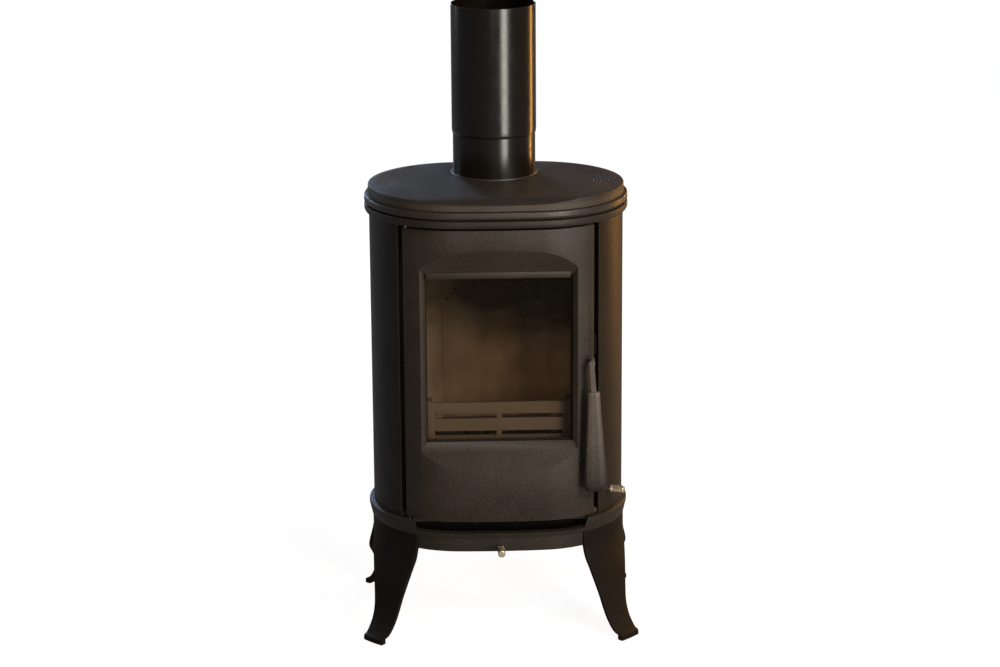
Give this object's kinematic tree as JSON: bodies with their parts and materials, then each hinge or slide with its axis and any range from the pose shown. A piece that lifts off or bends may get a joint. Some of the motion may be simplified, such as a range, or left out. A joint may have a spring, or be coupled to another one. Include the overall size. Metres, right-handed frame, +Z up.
{
  "type": "wood stove",
  "caption": "Oval cast-iron wood stove on splayed legs, with a glazed hinged door, hanging handle, air controls, fire-board lining and a top flue pipe.",
  "frame": {"origin": "on the floor, at the middle of the space the stove takes up, with its rest pose as in the picture", "axes": "+Z up, +X to the right of someone facing the door, -Y towards that person"},
  "size_m": [0.492, 0.3722, 1.104],
  "materials": {
    "cast_iron": "fine-grained sand casting under dark stove paint, satin",
    "bare_iron": "heat-browned cast iron",
    "painted_steel": "dark stove paint, satin",
    "flue_enamel": "smooth dark flue paint, semi-gloss",
    "plain_steel": "zinc-plated steel, dulled",
    "nickel": "warm bright nickel plate",
    "fire_board": "pressed fire board, browned by heat, dull",
    "glass_rope": "dark braided glass rope",
    "ceramic_glass": "clear fire glass with a light brown haze"
  },
  "bodies": {
    "stove": {"base_ring": "cast_iron", "leg_front_left": "cast_iron", "leg_front_right": "cast_iron", "leg_rear_left": "cast_iron", "leg_rear_right": "cast_iron", "leg_bolt_front_left": "plain_steel", "leg_bolt_front_right": "plain_steel", "leg_bolt_rear_left": "plain_steel", "leg_bolt_rear_right": "plain_steel", "bottom_plate": "cast_iron", "side_panel_left": "painted_steel", "side_panel_right": "painted_steel", "rear_panel": "painted_steel", "rear_outlet_cover": "cast_iron", "rear_cover_bolt_left": "plain_steel", "rear_cover_bolt_right": "plain_steel", "firebox_shell": "painted_steel", "front_frame": "cast_iron", "latch_keeper": "plain_steel", "top_frame": "cast_iron", "top_casting": "cast_iron", "lid": "cast_iron", "flue_collar": "cast_iron", "neck_pipe": "flue_enamel", "flue_pipe": "flue_enamel", "hinge_pin_upper": "plain_steel", "hinge_pin_lower": "plain_steel", "brick_right": "fire_board", "brick_corner_right": "fire_board", "brick_back": "fire_board", "brick_corner_left": "fire_board", "brick_left": "fire_board", "hearth_plate": "bare_iron", "grate": "bare_iron", "baffle": "fire_board", "log_guard": "bare_iron", "ash_pan": "painted_steel", "air_box": "painted_steel"},
    "door": {"door_casting": "cast_iron", "door_glass": "ceramic_glass", "glass_tape": "glass_rope", "door_rope": "glass_rope", "glass_clip_upper_left": "plain_steel", "glass_clip_upper_right": "plain_steel", "glass_clip_lower_left": "plain_steel", "glass_clip_lower_right": "plain_steel", "clip_screw_upper_left": "plain_steel", "clip_screw_upper_right": "plain_steel", "clip_screw_lower_left": "plain_steel", "clip_screw_lower_right": "plain_steel"},
    "handle": {"handle_spindle": "plain_steel", "handle_lever": "cast_iron", "handle_grip": "cast_iron", "latch_finger": "plain_steel", "latch_nut": "plain_steel"},
    "side_air": {"side_air_rod": "plain_steel", "side_air_knob": "nickel"},
    "front_air": {"front_air_slide": "plain_steel", "front_air_knob": "nickel"}
  },
  "joints": [
    {"name": "door_hinge", "type": "hinge", "parent": "stove", "child": "door", "pos_m": [-0.16, -0.11159, 0.486], "axis": [0, 0, -1], "range_deg": [0, 110]},
    {"name": "handle_turn", "type": "hinge", "parent": "door", "child": "handle", "pos_m": [0.16, -0.1451, 0.51], "axis": [0, -1, 0], "range_deg": [-7, 65]},
    {"name": "side_air_pull", "type": "slide", "parent": "stove", "child": "side_air", "axis": [0.9397, -0.342, 0], "range_m": [0, 0.019]},
    {"name": "front_air_pull", "type": "slide", "parent": "stove", "child": "front_air", "axis": [0, -1, 0], "range_m": [0, 0.035]}
  ]
}
